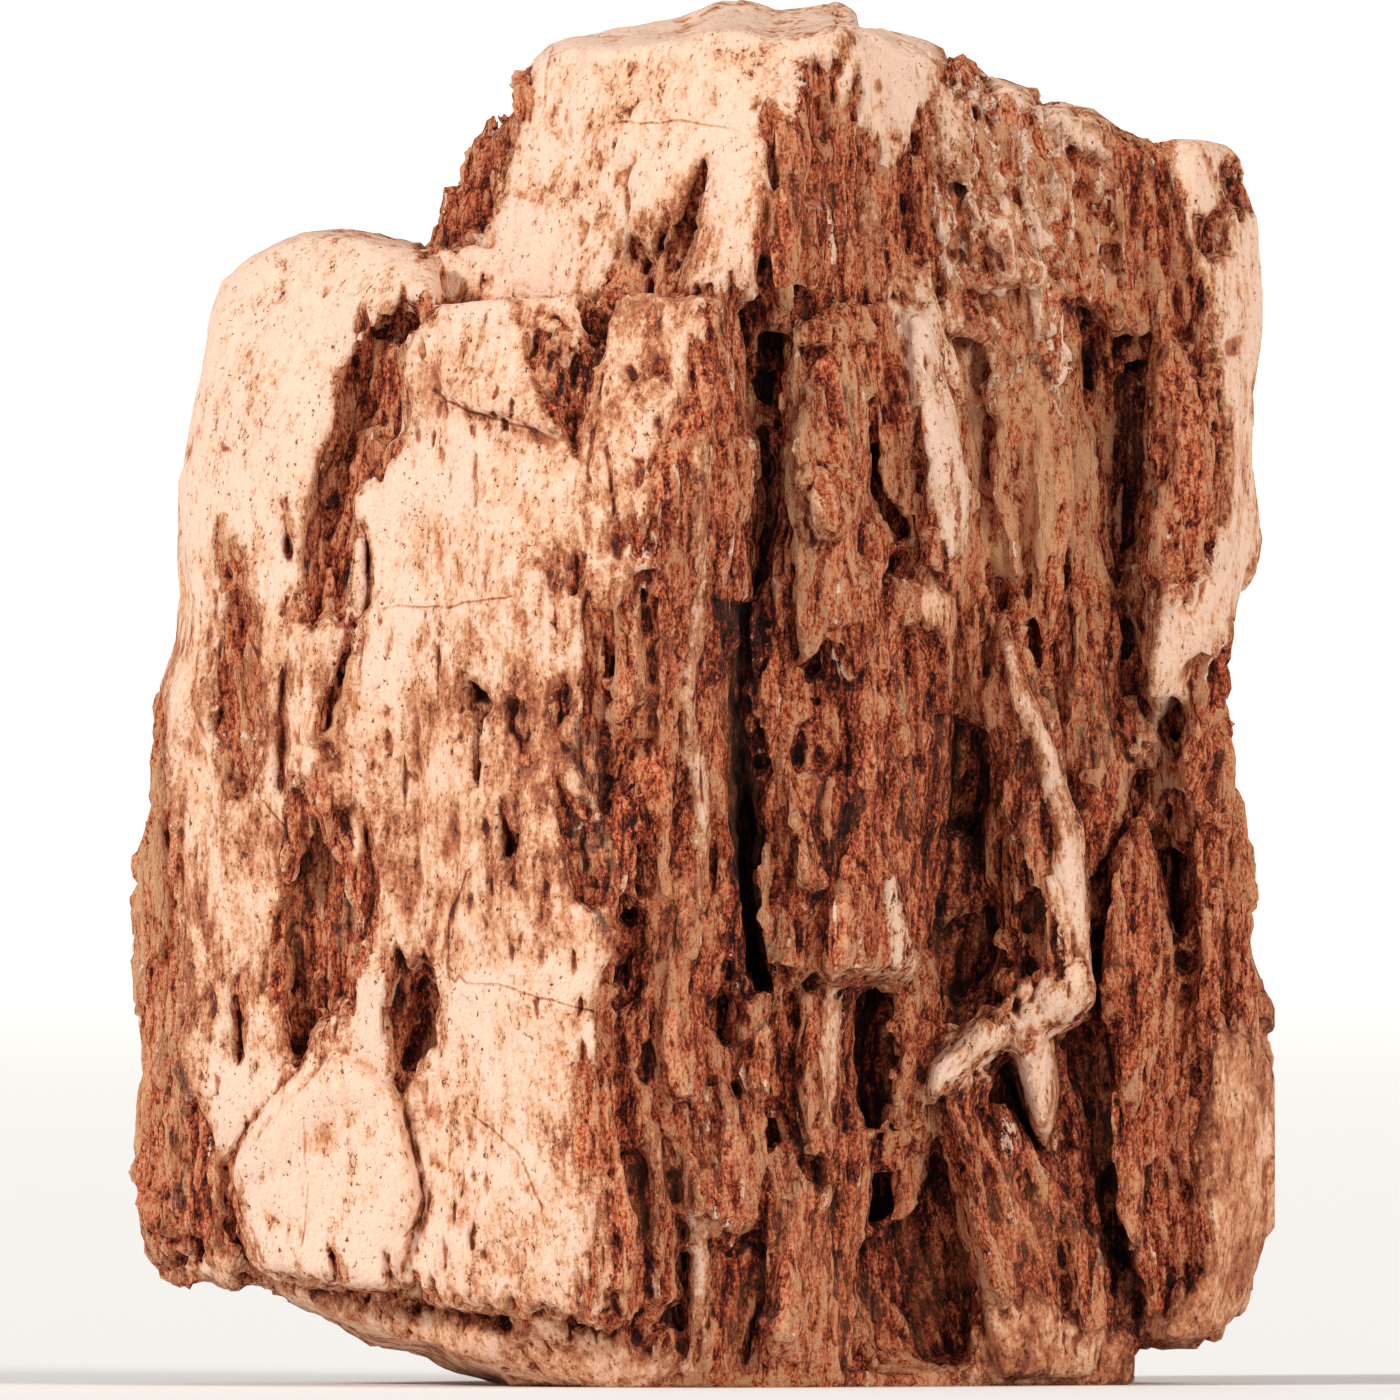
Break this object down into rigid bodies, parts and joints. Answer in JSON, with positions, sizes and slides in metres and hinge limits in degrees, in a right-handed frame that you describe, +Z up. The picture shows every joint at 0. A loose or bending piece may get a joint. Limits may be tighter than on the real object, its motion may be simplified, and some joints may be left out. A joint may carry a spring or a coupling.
{
  "type": "canyon rock",
  "caption": "Upright block of weathered stone: smooth pale crust with slots on one face, rust-red upright splinters and ledges on the other, uneven top and a flat seat to stand on.",
  "frame": {"origin": "centre of the box in plan, on the plane the stone stands on", "axes": "+Z up, +Y from the front towards the back, +X to the right as seen from the front"},
  "size_m": [0.1154, 0.0856, 0.1401],
  "materials": {
    "rock": "pale satin crust over rough rust-red fibrous stone"
  },
  "bodies": {
    "root": {"rock": "rock"}
  },
  "joints": []
}
